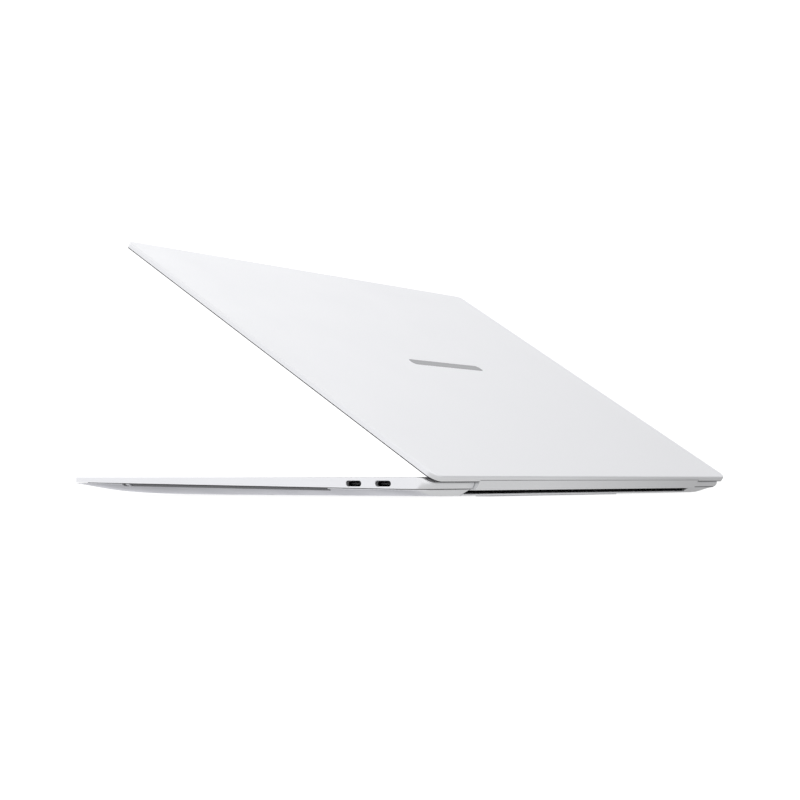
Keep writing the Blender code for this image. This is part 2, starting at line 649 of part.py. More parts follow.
def make_display(axis):
    """The panel, its cover glass, the dark gasket round the glass and the camera above it."""
    low = LID_LOW
    glass_back = -5.0
    ring = make_object("display_gasket", prism("Z", lid_outline(0.15), low, low + 0.45), BLACK, parent=axis)
    window = rounded_rectangle(-HALF_WIDTH + 1.35, HALF_WIDTH - 1.35, LID_FRONT + 1.35,
                               glass_back + GAP, FRONT_RADIUS - 1.35, 6)
    combine(ring, prism("Z", window, low - 1, low + 2), "DIFFERENCE", parent=axis)
    hinge_space = box((-HINGE_RECESS, HINGE_RECESS), (-HINGE_BARREL - GAP, 8.0), (low - 1, low + 2))
    combine(ring, hinge_space, "DIFFERENCE", parent=axis)

    glass = rounded_rectangle(-HALF_WIDTH + 1.65, HALF_WIDTH - 1.65, LID_FRONT + 1.65,
                              glass_back, FRONT_RADIUS - 1.65, 6)
    make_object("display_glass", prism("Z", glass, low, low + 0.65), GLASS, parent=axis)
    panel_z = (low + 0.95, low + 1.85)
    make_object("display_panel", box((-148.0, 148.0), (-212.0, -9.0), panel_z), DARK_GREY, parent=axis)
    make_object("webcam_module", box((-20.0, 20.0), (-215.9, -212.4), panel_z), DARK_GREY, parent=axis)


def main():
    for old in list(bpy.data.objects):
        bpy.data.objects.remove(old, do_unlink=True)
    make_top_case()
    make_bottom_cover()
    make_feet()
    make_vent_grille()
    make_keys()
    make_keyboard_layers()
    make_touchpad()
    make_boards()
    make_cooling()
    make_batteries()
    make_speakers()
    make_ports()
    make_hinge_brackets()

    lid_axis = bpy.data.objects.new("lid_axis", None)
    lid_axis.location = Vector((0.0, HINGE_Y, HINGE_Z - TABLE_Z)) * MM
    lid_axis.rotation_euler.x = -math.radians(LID_OPENING)
    bpy.context.scene.collection.objects.link(lid_axis)
    make_hinge_arms(lid_axis)
    make_hinge_cover(lid_axis)
    make_lid_cover(lid_axis)
    make_display(lid_axis)
    bpy.context.view_layer.update()


main()
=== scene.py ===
import json
import math

import bmesh
import bpy
from mathutils import Matrix, Vector


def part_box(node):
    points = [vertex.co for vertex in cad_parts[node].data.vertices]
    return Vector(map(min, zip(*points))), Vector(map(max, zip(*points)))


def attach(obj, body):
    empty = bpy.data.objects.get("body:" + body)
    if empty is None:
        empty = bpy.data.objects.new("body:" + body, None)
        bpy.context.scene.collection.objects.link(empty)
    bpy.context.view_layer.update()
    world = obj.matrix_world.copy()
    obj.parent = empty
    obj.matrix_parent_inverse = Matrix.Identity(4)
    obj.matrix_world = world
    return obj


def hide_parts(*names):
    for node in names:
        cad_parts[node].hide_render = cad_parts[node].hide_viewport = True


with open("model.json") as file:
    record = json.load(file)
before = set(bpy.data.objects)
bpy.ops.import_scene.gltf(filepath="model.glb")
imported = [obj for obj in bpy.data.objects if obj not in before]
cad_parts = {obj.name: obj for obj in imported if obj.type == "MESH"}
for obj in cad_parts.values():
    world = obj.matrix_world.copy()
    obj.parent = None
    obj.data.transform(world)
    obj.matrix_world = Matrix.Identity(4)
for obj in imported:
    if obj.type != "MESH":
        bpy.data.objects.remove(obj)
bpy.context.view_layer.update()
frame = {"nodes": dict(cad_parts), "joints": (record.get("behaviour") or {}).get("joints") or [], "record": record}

# Lengths are in millimetres until a mesh is made, in the frame's axes. Lid pieces are shaped closed,
# measured from the hinge axis, and then turned to where the frame holds the lid.
MM = 0.001
HINGE = next(joint for joint in frame["joints"] if joint["name"] == "lid_hinge")
HINGE_POINT = Vector(HINGE["pos_m"]) / MM
LID_OPENING = -HINGE["range_deg"][0]
LID_TURN = Matrix.Translation(HINGE_POINT) @ Matrix.Rotation(-math.radians(LID_OPENING), 4, "X")

SHARP = 35                    # degrees between faces from which a shaped piece keeps a hard edge


def box(node):
    """A node's lowest and highest corners in millimetres."""
    low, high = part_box(node)
    return low / MM, high / MM


def lid_box(node):
    """A lid node's corners in millimetres from the hinge axis, as it lies with the lid closed."""
    unturn = LID_TURN.inverted()
    points = [unturn @ (vertex.co / MM) for vertex in frame["nodes"][node].data.vertices]
    low = Vector([min(point[axis] for point in points) for axis in range(3)])
    high = Vector([max(point[axis] for point in points) for axis in range(3)])
    return low, high


# ---- outlines and solids ----

def arc(centre, radius, start, end, steps):
    points = []
    for step in range(steps + 1):
        angle = math.radians(start + (end - start) * step / steps)
        points.append((centre[0] + radius * math.cos(angle), centre[1] + radius * math.sin(angle)))
    return points


def circle(centre, radius, steps=32):
    return arc(centre, radius, 0, 360, steps)[:-1]


def rectangle(x0, x1, y0, y1):
    return [(x0, y0), (x1, y0), (x1, y1), (x0, y1)]


def rounded_rectangle(x0, x1, y0, y1, radius, steps=8, rear_radius=None):
    """Round corners, counter-clockwise. The two at high y can have a radius of their own."""
    rear = rear_radius or radius
    corners = [(x1 - radius, y0 + radius, radius, -90), (x1 - rear, y1 - rear, rear, 0),
               (x0 + rear, y1 - rear, rear, 90), (x0 + radius, y0 + radius, radius, 180)]
    points = []
    for x, y, size, start in corners:
        points += arc((x, y), size, start, start + 90, steps)
    return points


def stadium(centre, width, height, steps=12):
    reach = (width - height) / 2
    first = arc((centre[0] + reach, centre[1]), height / 2, -90, 90, steps)
    return first + arc((centre[0] - reach, centre[1]), height / 2, 90, 270, steps)


def along(axis, point, level):
    if axis == "X":
        return Vector((level, point[0], point[1]))
    if axis == "Y":
        return Vector((point[0], level, point[1]))
    return Vector((point[0], point[1], level))


def add_stack(bm, rings):
    """One closed solid through rings with equal numbers of points. Returns its two end faces."""
    loops = [[bm.verts.new(point) for point in ring] for ring in rings]
    faces = []
    for lower, upper in zip(loops, loops[1:]):
        count = len(lower)
        for i in range(count):
            j = (i + 1) % count
            faces.append(bm.faces.new((lower[i], lower[j], upper[j], upper[i])))
    ends = [bm.faces.new(loops[0][::-1]), bm.faces.new(loops[-1])]
    bmesh.ops.recalc_face_normals(bm, faces=faces + ends)
    return ends


def add_prism(bm, axis, outline, low, high):
    return add_stack(bm, [[along(axis, p, low) for p in outline], [along(axis, p, high) for p in outline]])


def prism(axis, outline, low, high):
    bm = bmesh.new()
    add_prism(bm, axis, outline, low, high)
    return bm


def layers(axis, outline, levels):
    """A solid whose outline, a function of one number, changes from level to level."""
    bm = bmesh.new()
    add_stack(bm, [[along(axis, p, level) for p in outline(number)] for level, number in levels])
    return bm


def block(x, y, z):
    return prism("Z", rectangle(x[0], x[1], y[0], y[1]), z[0], z[1])


def mirrored(side, pair):
    low, high = pair
    return (low, high) if side > 0 else (-high, -low)


def raw_object(name, bm, on_lid=False):
    if on_lid:
        bmesh.ops.transform(bm, matrix=LID_TURN, verts=bm.verts)
    bmesh.ops.transform(bm, matrix=Matrix.Scale(MM, 4), verts=bm.verts)
    mesh = bpy.data.meshes.new(name)
    bm.to_mesh(mesh)
    bm.free()
    obj = bpy.data.objects.new(name, mesh)
    bpy.context.scene.collection.objects.link(obj)
    return obj


def settle(obj):
    """Turns an object's modifiers into mesh."""
    graph = bpy.context.evaluated_depsgraph_get()
    mesh = bpy.data.meshes.new_from_object(obj.evaluated_get(graph))
    obj.modifiers.clear()
    obj.data = mesh


def carve(obj, bm, operation="DIFFERENCE", on_lid=False):
    tool = raw_object("tool", bm, on_lid)
    modifier = obj.modifiers.new("carve", "BOOLEAN")
    modifier.operation = operation
    modifier.object = tool
    settle(obj)
    bpy.data.objects.remove(tool, do_unlink=True)


def soften(obj, width, segments=3, angle=32):
    """Rounds every edge sharper than the angle, and keeps the flats flat in shading."""
    bevel = obj.modifiers.new("bevel", "BEVEL")
    bevel.width = width * MM
    bevel.segments = segments
    bevel.limit_method = "ANGLE"
    bevel.angle_limit = math.radians(angle)
    bevel.use_clamp_overlap = True
    settle(obj)
    smooth(obj)


def smooth(obj, angle=50):
    obj.data.shade_smooth()
    obj.data.set_sharp_from_angle(angle=math.radians(angle))
    normals = obj.modifiers.new("normals", "WEIGHTED_NORMAL")
    normals.keep_sharp = True
    normals.weight = 90


def settle_in(obj, slot, body, *nodes):
    """Gives a piece its material, its body and the CAD nodes that it stands for."""
    obj.data.materials.clear()
    obj.data.materials.append(MATERIALS[slot])
    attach(obj, body)
    if nodes:
        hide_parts(*nodes)


# ---- materials ----

FINE_RELIEF = 0.00002         # metres, for grain and brushed lines


def new_material(name, colour, roughness, metallic=0.0, **constants):
    material = bpy.data.materials.new(name)
    material.use_nodes = True
    shader = material.node_tree.nodes["Principled BSDF"]
    shader.inputs["Base Color"].default_value = (*colour, 1.0)
    shader.inputs["Roughness"].default_value = roughness
    shader.inputs["Metallic"].default_value = metallic
    for socket, value in constants.items():
        shader.inputs[socket.replace("_", " ")].default_value = value
    return material


def noise(material, scale, detail=2.0, stretch=(1.0, 1.0, 1.0)):
    """A noise texture in the object's own coordinates, scale in features per metre."""
    tree = material.node_tree
    place = tree.nodes.new("ShaderNodeTexCoord")
    mapping = tree.nodes.new("ShaderNodeMapping")
    mapping.inputs["Scale"].default_value = stretch
    texture = tree.nodes.new("ShaderNodeTexNoise")
    texture.inputs["Scale"].default_value = scale
    texture.inputs["Detail"].default_value = detail
    tree.links.new(place.outputs["Object"], mapping.inputs["Vector"])
    tree.links.new(mapping.outputs["Vector"], texture.inputs["Vector"])
    return texture.outputs["Fac"]


def ramp(material, source, low, high, start=0.3, end=0.7):
    """Maps a texture value onto a range of numbers, or of colours when low and high are colours."""
    tree = material.node_tree
    if isinstance(low, float):
        node = tree.nodes.new("ShaderNodeMapRange")
        node.inputs["From Min"].default_value = start
        node.inputs["From Max"].default_value = end
        node.inputs["To Min"].default_value = low
        node.inputs["To Max"].default_value = high
        tree.links.new(source, node.inputs["Value"])
        return node.outputs["Result"]
    node = tree.nodes.new("ShaderNodeValToRGB")
    node.color_ramp.elements[0].position = start
    node.color_ramp.elements[1].position = end
    node.color_ramp.elements[0].color = (*low, 1.0)
    node.color_ramp.elements[1].color = (*high, 1.0)
    tree.links.new(source, node.inputs["Fac"])
    return node.outputs["Color"]


def feed(material, socket, output):
    shader = material.node_tree.nodes["Principled BSDF"]
    material.node_tree.links.new(output, shader.inputs[socket])


def bump(material, height, strength, distance):
    """Relief from a texture value. The distance is in metres."""
    tree = material.node_tree
    node = tree.nodes.new("ShaderNodeBump")
    node.inputs["Strength"].default_value = strength
    node.inputs["Distance"].default_value = distance
    tree.links.new(height, node.inputs["Height"])
    feed(material, "Normal", node.outputs["Normal"])


def tint(colour, factor):
    return tuple(min(1.0, channel * factor) for channel in colour)


def grained(name, colour, roughness, metallic, grain, spread, relief, patch=30.0, **constants):
    """A finish with a fine grain in colour and relief, and slow patches in its gloss.

    Grain and patch are in features per metre, spread is the grain's share of the colour."""
    material = new_material(name, colour, roughness, metallic, **constants)
    fine = noise(material, grain, 3.0)
    slow = noise(material, patch, 2.0)
    feed(material, "Base Color", ramp(material, fine, tint(colour, 1 - spread), tint(colour, 1 + spread)))
    feed(material, "Roughness", ramp(material, slow, roughness - 0.04, roughness + 0.04))
    bump(material, fine, relief, FINE_RELIEF)
    return material


def brushed(name, colour, roughness, stretch):
    """A metal with fine lines, drawn out along the axis with the smallest stretch."""
    material = new_material(name, colour, roughness, 1.0)
    lines = noise(material, 900.0, 4.0, stretch)
    feed(material, "Base Color", ramp(material, lines, tint(colour, 0.92), tint(colour, 1.08)))
    feed(material, "Roughness", ramp(material, lines, roughness - 0.08, roughness + 0.1))
    bump(material, lines, 0.12, FINE_RELIEF)
    return material


def circuit_board():
    """Dark solder mask with fine tracks and scattered pale pads."""
    material = new_material("circuit_board", (0.01, 0.035, 0.028), 0.42)
    tree = material.node_tree
    place = tree.nodes.new("ShaderNodeTexCoord")
    tracks = tree.nodes.new("ShaderNodeTexBrick")
    tracks.inputs["Scale"].default_value = 260.0
    tracks.inputs["Color1"].default_value = (0.008, 0.030, 0.024, 1.0)
    tracks.inputs["Color2"].default_value = (0.014, 0.048, 0.036, 1.0)
    tracks.inputs["Mortar"].default_value = (0.022, 0.075, 0.052, 1.0)
    tracks.inputs["Mortar Size"].default_value = 0.03
    tree.links.new(place.outputs["Object"], tracks.inputs["Vector"])
    pads = tree.nodes.new("ShaderNodeTexVoronoi")
    pads.inputs["Scale"].default_value = 420.0
    tree.links.new(place.outputs["Object"], pads.inputs["Vector"])
    mask = ramp(material, pads.outputs["Distance"], 1.0, 0.0, 0.10, 0.14)
    mix = tree.nodes.new("ShaderNodeMix")
    mix.data_type = "RGBA"
    tree.links.new(mask, mix.inputs["Factor"])
    tree.links.new(tracks.outputs["Color"], mix.inputs["A"])
    mix.inputs["B"].default_value = (0.55, 0.52, 0.42, 1.0)
    feed(material, "Base Color", mix.outputs["Result"])
    bump(material, tracks.outputs["Fac"], 0.3, 0.00005)
    return material


def foil():
    """A dark laminated pouch with soft creases."""
    material = new_material("battery_foil", (0.05, 0.05, 0.056), 0.42, 0.5)
    creases = noise(material, 60.0, 5.0, (1.0, 0.35, 1.0))
    feed(material, "Roughness", ramp(material, creases, 0.3, 0.55))
    bump(material, creases, 0.5, 0.0006)
    return material


def glass_front(name, colour, roughness):
    """Polished cover glass over black, with faint smears in its gloss."""
    material = new_material(name, colour, roughness, 0.0, IOR=1.52)
    smears = noise(material, 22.0, 4.0, (1.0, 0.4, 1.0))
    feed(material, "Roughness", ramp(material, smears, roughness, roughness + 0.035))
    feed(material, "Base Color", ramp(material, smears, tint(colour, 0.9), tint(colour, 1.15)))
    return material


SATIN = (0.925, 0.93, 0.945)
MATERIALS = {
    "satin_metal": grained("satin_metal", SATIN, 0.38, 0.8, 2600.0, 0.02, 0.10),
    "keycap_plastic": grained("keycap_plastic", (0.74, 0.745, 0.755), 0.52, 0.0, 5000.0, 0.015, 0.16,
                              120.0),
    "touchpad_surface": grained("touchpad_surface", (0.80, 0.805, 0.82), 0.34, 0.0, 7000.0, 0.01, 0.05,
                                40.0),
    "frame_plastic": grained("frame_plastic", (0.48, 0.485, 0.495), 0.5, 0.0, 4000.0, 0.03, 0.2, 80.0),
    "dark_plastic": grained("dark_plastic", (0.014, 0.014, 0.016), 0.5, 0.0, 3500.0, 0.2, 0.25, 90.0),
    "gasket_rubber": grained("gasket_rubber", (0.03, 0.03, 0.033), 0.62, 0.0, 2800.0, 0.2, 0.3, 70.0),
    "pale_rubber": grained("pale_rubber", (0.66, 0.66, 0.67), 0.75, 0.0, 1800.0, 0.05, 0.4, 90.0),
    "steel": brushed("steel", (0.62, 0.62, 0.63), 0.32, (0.08, 1.0, 1.0)),
    "copper": brushed("copper", (0.42, 0.24, 0.16), 0.35, (0.1, 1.0, 1.0)),
    "circuit_board": circuit_board(),
    "battery_foil": foil(),
    "screen_glass": glass_front("screen_glass", (0.006, 0.006, 0.008), 0.04),
}
SCREEN_LIVE = glass_front("screen_live_area", (0.026, 0.027, 0.033), 0.07)
LEGEND = grained("legend_print", (0.20, 0.20, 0.215), 0.6, 0.0, 4000.0, 0.05, 0.05)
SCREEN_CLOTH = grained("screen_cloth", (0.20, 0.20, 0.205), 0.7, 0.0, 6000.0, 0.3, 0.6)
# Near black, little gloss: the vent bar's and port linings' own black, and painted shade on the fins behind the
# vent.
BLACK_AND_PAINTED_SHADE = grained("black_and_painted_shade", (0.004, 0.004, 0.0045), 0.6, 0.0, 3500.0, 0.2, 0.25, 90.0,
                    Specular_IOR_Level=0.12)
POLISHED = new_material("polished_inlay", (0.30, 0.305, 0.315), 0.07, 1.0)
feed(POLISHED, "Roughness", ramp(POLISHED, noise(POLISHED, 300.0, 3.0), 0.05, 0.10))


def dress_cad_nodes():
    """Every CAD node takes the material of its record slot, except the fins behind the vent, which are painted
    near black as shade inside the vent.
    """
    for part in frame["record"]["subparts"]:
        mesh = frame["nodes"][part["node"]].data
        finned = part["node"].startswith("fin_stack")
        mesh.materials.clear()
        # the fins get near black in place of their copper: painted shade inside the vent
        mesh.materials.append(BLACK_AND_PAINTED_SHADE if finned else MATERIALS[part["material_slot"]])
        mesh.shade_smooth()
        mesh.set_sharp_from_angle(angle=math.radians(28))


# ---- base shell ----

FRONT_RADIUS, REAR_RADIUS = 3.5, 6.0
GAP = 0.3                     # between a piece and the opening that it sits in
CASE_LOW, CASE_HIGH = box("top_case")
DECK = CASE_HIGH.z
CASE_FOOT = CASE_LOW.z
HALF_WIDTH = CASE_HIGH.x
FRONT = CASE_LOW.y
WALL = 1.8
DECK_SKIN = 1.1
CAVITY_BACK = 98.8
HINGE_RECESS = box("hinge_cover")[1].x + GAP
RECESS_FRONT, SHELF_BACK, DECK_BACK = 98.0, 101.5, 102.9
SHELF_DROP = 4.2
REAR_FOOT_Y, REAR_FOOT_RISE = 107.8, 0.9
INSIDE = HALF_WIDTH - WALL
INSIDE_RADIUS = REAR_RADIUS - WALL
POCKET_BACK = CASE_HIGH.y - 2.0
POCKET_NEAR = HINGE_RECESS + 1.5
PIN_BORE, PIN_BORE_END = 1.6, 122.4
SCOOP_RADIUS, SCOOP_SET_BACK = 62.2, 60.0
PORTS = {"port_right_front": 1, "port_right_rear": 1, "port_left": -1}
PORT_SKIN = 0.4
FANS = {"left": -92.0, "right": 92.0}
FAN_Y = 69.0

WALL_SLOPE_START, WALL_SLOPE = 94.0, 0.0133
SEAM, COVER_LIP, COVER_THICKNESS = 0.35, 0.2, 1.0
FLOOR_Z = box("bottom_cover")[0].z
COVER_REAR = box("bottom_cover")[1].y
REAR_TAPER_START, REAR_TAPER_SLOPE = 101.1, 0.53
TAPER_FRONT, TAPER_REAR = 16.0, 24.0
BELLY_RISE, BELLY_LENGTH = 5.0, 19.0


def wall_foot(y):
    """Height of the side wall's lower edge."""
    return CASE_FOOT + max(0.0, WALL_SLOPE_START - y) * WALL_SLOPE


def port_outline(node):
    """A socket opening's outline, a function of how far it is widened."""
    low, high = box(node)
    centre = ((low.y + high.y) / 2, (low.z + high.z) / 2)
    width, height = high.y - low.y - 2 * PORT_SKIN, high.z - low.z - 2 * PORT_SKIN
    return lambda grow: stadium(centre, width + 2 * grow, height + 2 * grow)


def well(node, margin, radius):
    """Outline round a node's plan, a function of how far it is widened."""
    low, high = box(node)

    def outline(grow):
        out = margin + grow
        return rounded_rectangle(low.x - out, high.x + out, low.y - out, high.y + out, radius + grow)
    return outline


def rear_corner(inset):
    """The inside of a rear corner block, from the side round to the back."""
    centre = (INSIDE - INSIDE_RADIUS, POCKET_BACK - INSIDE_RADIUS)
    return arc(centre, INSIDE_RADIUS - inset, 0, 90, 8)


def case_rear(z):
    """How far back the corner blocks reach: a slant at their foot, then a round about the hinge."""
    if z < CASE_FOOT + REAR_FOOT_RISE:
        return REAR_FOOT_Y + max(0.0, z - CASE_FOOT)
    reach = DECK - HINGE_POINT.z
    return HINGE_POINT.y + math.sqrt(max(0.0, reach ** 2 - (z - HINGE_POINT.z) ** 2))


def make_case():
    """Deck and side walls, with a soft upper edge, bulging rear corners and chamfered openings."""
    edge, chamfer = 0.5, 0.15
    foot, ceiling = CASE_FOOT, DECK - DECK_SKIN
    reach = DECK - HINGE_POINT.z
    heights = [foot - 1, foot, foot + 0.4, foot + REAR_FOOT_RISE]
    heights += [HINGE_POINT.z + reach * math.sin(math.radians(angle)) for angle in range(-32, 53, 12)]
    levels = [(z, 0.0) for z in heights]
    levels += [(DECK - edge + rise, inset) for inset, rise in arc((edge, 0.0), edge, 180, 90, 6)]
    rings = []
    for z, inset in levels:
        plan = rounded_rectangle(inset - HALF_WIDTH, HALF_WIDTH - inset, FRONT + inset, case_rear(z),
                                 FRONT_RADIUS - inset, 14, REAR_RADIUS - inset)
        rings.append([along("Z", p, z) for p in plan])
    shell = bmesh.new()
    add_stack(shell, rings)
    case = raw_object("deck_and_walls", shell)
    below = [(FRONT - 5, foot - 5), (CASE_HIGH.y + 5, foot - 5), (CASE_HIGH.y + 5, foot),
             (WALL_SLOPE_START, foot), (FRONT - 5, wall_foot(FRONT - 5))]
    carve(case, prism("X", below, -HALF_WIDTH - 5, HALF_WIDTH + 5))

    cavity = rounded_rectangle(-INSIDE, INSIDE, FRONT + WALL, CAVITY_BACK, FRONT_RADIUS - WALL)
    carve(case, prism("Z", cavity, 0.0, ceiling))
    shelf = DECK - SHELF_DROP
    above, behind = 12.0, 115.0
    recess = [(RECESS_FRONT, -1.0), (RECESS_FRONT, shelf), (SHELF_BACK, shelf), (SHELF_BACK, ceiling),
              (DECK_BACK, ceiling), (DECK_BACK, above), (behind, above), (behind, -1.0)]
    carve(case, prism("X", recess, -HINGE_RECESS, HINGE_RECESS))
    pocket = [(POCKET_NEAR, RECESS_FRONT), (INSIDE, RECESS_FRONT)]
    pocket += rear_corner(0.0) + [(POCKET_NEAR, POCKET_BACK)]
    for sign in (-1, 1):
        carve(case, prism("Z", [(sign * x, y) for x, y in pocket], 0.0, DECK - 1.4))
        bore = mirrored(sign, (HINGE_RECESS - 1, PIN_BORE_END))
        carve(case, prism("X", circle(HINGE_POINT.yz, PIN_BORE), *bore))

    for outline in (well("keyboard_frame", GAP, 2.0), well("touchpad", GAP, 3.3)):
        carve(case, layers("Z", outline, [(DECK - 2, 0.0), (DECK - chamfer, 0.0), (DECK + 1, 1 + chamfer)]))

    def scoop_outline(grow):
        return arc((0.0, FRONT - SCOOP_SET_BACK), SCOOP_RADIUS + grow, 60, 120, 24)

    scoop = [(DECK - 1.1, -0.5), (DECK - 0.9, -0.15), (DECK - 0.3, 0.1), (DECK, 0.3), (DECK + 1, 1.3)]
    carve(case, layers("Z", scoop_outline, scoop))
    for node, sign in PORTS.items():
        levels = [(sign * 150.0, 0.0), (sign * (HALF_WIDTH - 0.2), 0.0), (sign * (HALF_WIDTH + 0.8), 1.0)]
        carve(case, layers("X", port_outline(node), levels))
    smooth(case, SHARP)
    settle_in(case, "satin_metal", "base", "top_case")


def belly(y):
    """Height of the underside along the middle: swept up at the front, slanting up at the rear."""
    sweep = FLOOR_Z + BELLY_RISE * math.exp(-(y - FRONT) / BELLY_LENGTH)
    return max(sweep, FLOOR_Z + max(0.0, y - REAR_TAPER_START) * REAR_TAPER_SLOPE)


def cover_half_width(y):
    """The cover follows the case's front corners and has a larger round at the rear."""
    front_reach = max(0.0, FRONT + FRONT_RADIUS - y)
    rear_radius = COVER_REAR - REAR_TAPER_START
    rear_reach = max(0.0, y - REAR_TAPER_START)
    front_cut = FRONT_RADIUS - math.sqrt(FRONT_RADIUS ** 2 - front_reach ** 2)
    rear_cut = rear_radius - math.sqrt(max(0.0, rear_radius ** 2 - rear_reach ** 2))
    return HALF_WIDTH - front_cut - rear_cut


def taper_width(y):
    """How far in from the side the underside reaches its full depth."""
    return TAPER_FRONT + (TAPER_REAR - TAPER_FRONT) * (y - FRONT) / (-2 * FRONT)


def cover_under(y, inset):
    """Height of the underside at a distance in from the side."""
    lip = wall_foot(y) - SEAM - COVER_LIP
    floor = min(belly(y), lip)
    return lip + (floor - lip) * (1 - (1 - min(inset / taper_width(y), 1.0)) ** 2)


def cover_grid():
    """Rows of (x, y, underside height, inner height) over the bottom cover."""
    rear_radius = COVER_REAR - REAR_TAPER_START
    rows = [FRONT + FRONT_RADIUS * (1 - math.cos(math.radians(angle))) for angle in range(0, 85, 12)]
    rows += [FRONT + FRONT_RADIUS + 3.0 * step for step in range(22)]
    rows += [-30.0, -10.0, 15.0, 40.0, 65.0, 85.0, WALL_SLOPE_START]
    rows += [COVER_REAR - rear_radius * (1 - math.sin(math.radians(angle))) for angle in range(0, 91, 9)]
    shares = [0.0, 0.02, 0.05, 0.09, 0.14, 0.21, 0.3, 0.41, 0.53, 0.66, 0.8, 1.0]
    grid = []
    for y in rows:
        half = cover_half_width(y)
        insets = [share * taper_width(y) for share in shares] + [45.0, 90.0]
        columns = [(inset - half, inset) for inset in insets]
        columns += [(half - inset, inset) for inset in insets[::-1]]
        row = []
        for x, inset in columns:
            under = cover_under(y, inset)
            row.append((x, y, under, min(under + COVER_THICKNESS, wall_foot(y) - SEAM)))
        grid.append(row)
    return grid


def make_cover():
    """The dished bottom: a vented, screwed tray with a rolled rear lip and long sound slots."""
    grid = cover_grid()
    bm = bmesh.new()
    under = [[bm.verts.new((x, y, z)) for x, y, z, top in row] for row in grid]
    inner = [[bm.verts.new((x, y, top)) for x, y, z, top in row] for row in grid]
    last_row, last_column = len(grid) - 1, len(grid[0]) - 1
    for rows in (under, inner):
        for i in range(last_row):
            for j in range(last_column):
                bm.faces.new((rows[i][j], rows[i][j + 1], rows[i + 1][j + 1], rows[i + 1][j]))
    rim = [(0, j) for j in range(last_column)] + [(i, last_column) for i in range(last_row)]
    rim += [(last_row, j) for j in range(last_column, 0, -1)] + [(i, 0) for i in range(last_row, 0, -1)]
    for (i, j), (k, m) in zip(rim, rim[1:] + rim[:1]):
        bm.faces.new((under[i][j], under[k][m], inner[k][m], inner[i][j]))
    bmesh.ops.recalc_face_normals(bm, faces=bm.faces)
    cover = raw_object("belly_cover", bm)

    carve(cover, block((-HINGE_RECESS, HINGE_RECESS), (101.0, 110.0), (0.0, 8.0)))
    lip_low, lip_high, lip_front, lip_rear = FLOOR_Z + 0.02, FLOOR_Z + 1.06, 96.0, 103.5
    radius = (lip_high - lip_low) / 2
    lip = [(lip_front, lip_high), (lip_front, lip_low)]
    lip += arc((lip_rear - radius, lip_low + radius), radius, -90, 90, 8)
    carve(cover, prism("X", lip, 0.2 - HINGE_RECESS, HINGE_RECESS - 0.2), "UNION")
    drop, slant = SEAM + SOUND_SLOT_HEIGHT, 0.3
    for sign in (-1, 1):
        for start, end in SOUND_SLOTS:
            slot = [(start, wall_foot(start) + 1), (start, wall_foot(start) - drop / 2),
                    (start + slant, wall_foot(start) - drop), (end - slant, wall_foot(end) - drop),
                    (end, wall_foot(end) - drop / 2), (end, wall_foot(end) + 1)]
            deep = 149.0 if end - start > 10 else 150.0
            carve(cover, prism("X", slot, *mirrored(sign, (deep, HALF_WIDTH + 3))))
    for node in ("foot_front", "foot_rear"):
        bed = well(node, GAP, FOOT_CORNER)
        carve(cover, prism("Z", bed(0.0), -1.0, box(node)[1].z + GAP))

    cuts = bmesh.new()
    for x in FANS.values():
        for step in range(-4, 5):
            shift = INTAKE_PITCH * step
            length = 2 * math.sqrt(INTAKE_RADIUS ** 2 - shift ** 2)
            slot = [(a + x + shift, b + FAN_Y) for b, a in stadium((0.0, 0.0), length, 2.2, 6)]
            add_prism(cuts, "Z", slot, 0.0, FLOOR_Z + 1.8)
    for x, y in SCREWS:
        add_prism(cuts, "Z", circle((x, y), 2.5, 24), 0.0, screw_seat(x, y))
    carve(cover, cuts)
    smooth(cover, SHARP)
    settle_in(cover, "satin_metal", "base", "bottom_cover")


INTAKE_RADIUS, INTAKE_PITCH = 19.0, 4.3
FOOT_CORNER = 3.8
SOUND_SLOTS = ((-71.0, 53.6), (-76.1, -73.3))
SOUND_SLOT_HEIGHT = 1.0
SCREW_PLACES = ((136.0, 90.0), (42.0, 92.5), (137.0, 8.0), (112.0, -63.0))
SCREWS = [(sign * x, y) for x, y in SCREW_PLACES for sign in (-1, 1)]


def screw_seat(x, y):
    """Height of the bottom of a screw's countersink."""
    return cover_under(y, HALF_WIDTH - abs(x)) + 0.5


def make_underside_details():
    """Screws with a six-lobed socket, dust screens behind the intake slots, and rubber foot strips."""
    heads, sockets = bmesh.new(), bmesh.new()
    for x, y in SCREWS:
        seat = screw_seat(x, y)
        rings = [[along("Z", p, z) for p in circle((x, y), radius, 24)]
                 for z, radius in ((seat + 0.3, 2.3), (seat - 0.25, 2.3), (seat - 0.42, 2.1))]
        add_stack(heads, rings)
        lobes = []
        for step in range(48):
            angle = math.radians(7.5 * step)
            reach = 1.0 + 0.18 * math.cos(6 * angle)
            lobes.append((x + reach * math.cos(angle), y + reach * math.sin(angle)))
        add_prism(sockets, "Z", lobes, seat - 1, seat - 0.05)
    screws = raw_object("cover_screws", heads)
    carve(screws, sockets)
    smooth(screws, SHARP)
    settle_in(screws, "steel", "base")

    for side, x in FANS.items():
        disc = prism("Z", circle((x, FAN_Y), INTAKE_RADIUS + 1.5, 48), FLOOR_Z + 1.02, FLOOR_Z + 1.3)
        settle_in(raw_object(f"dust_screen_{side}", disc), "dark_plastic", "base")

    edge = 0.4
    for node in ("foot_front", "foot_rear"):
        low, high = box(node)
        levels = [(high.z, 0.0)] + [(low.z + edge - drop, -inset)
                                    for inset, drop in arc((edge, 0.0), edge, 180, 90, 4)]
        foot = raw_object(f"{node}_strip", layers("Z", well(node, 0.0, FOOT_CORNER), levels))
        smooth(foot, SHARP)
        settle_in(foot, "pale_rubber", "base", node)


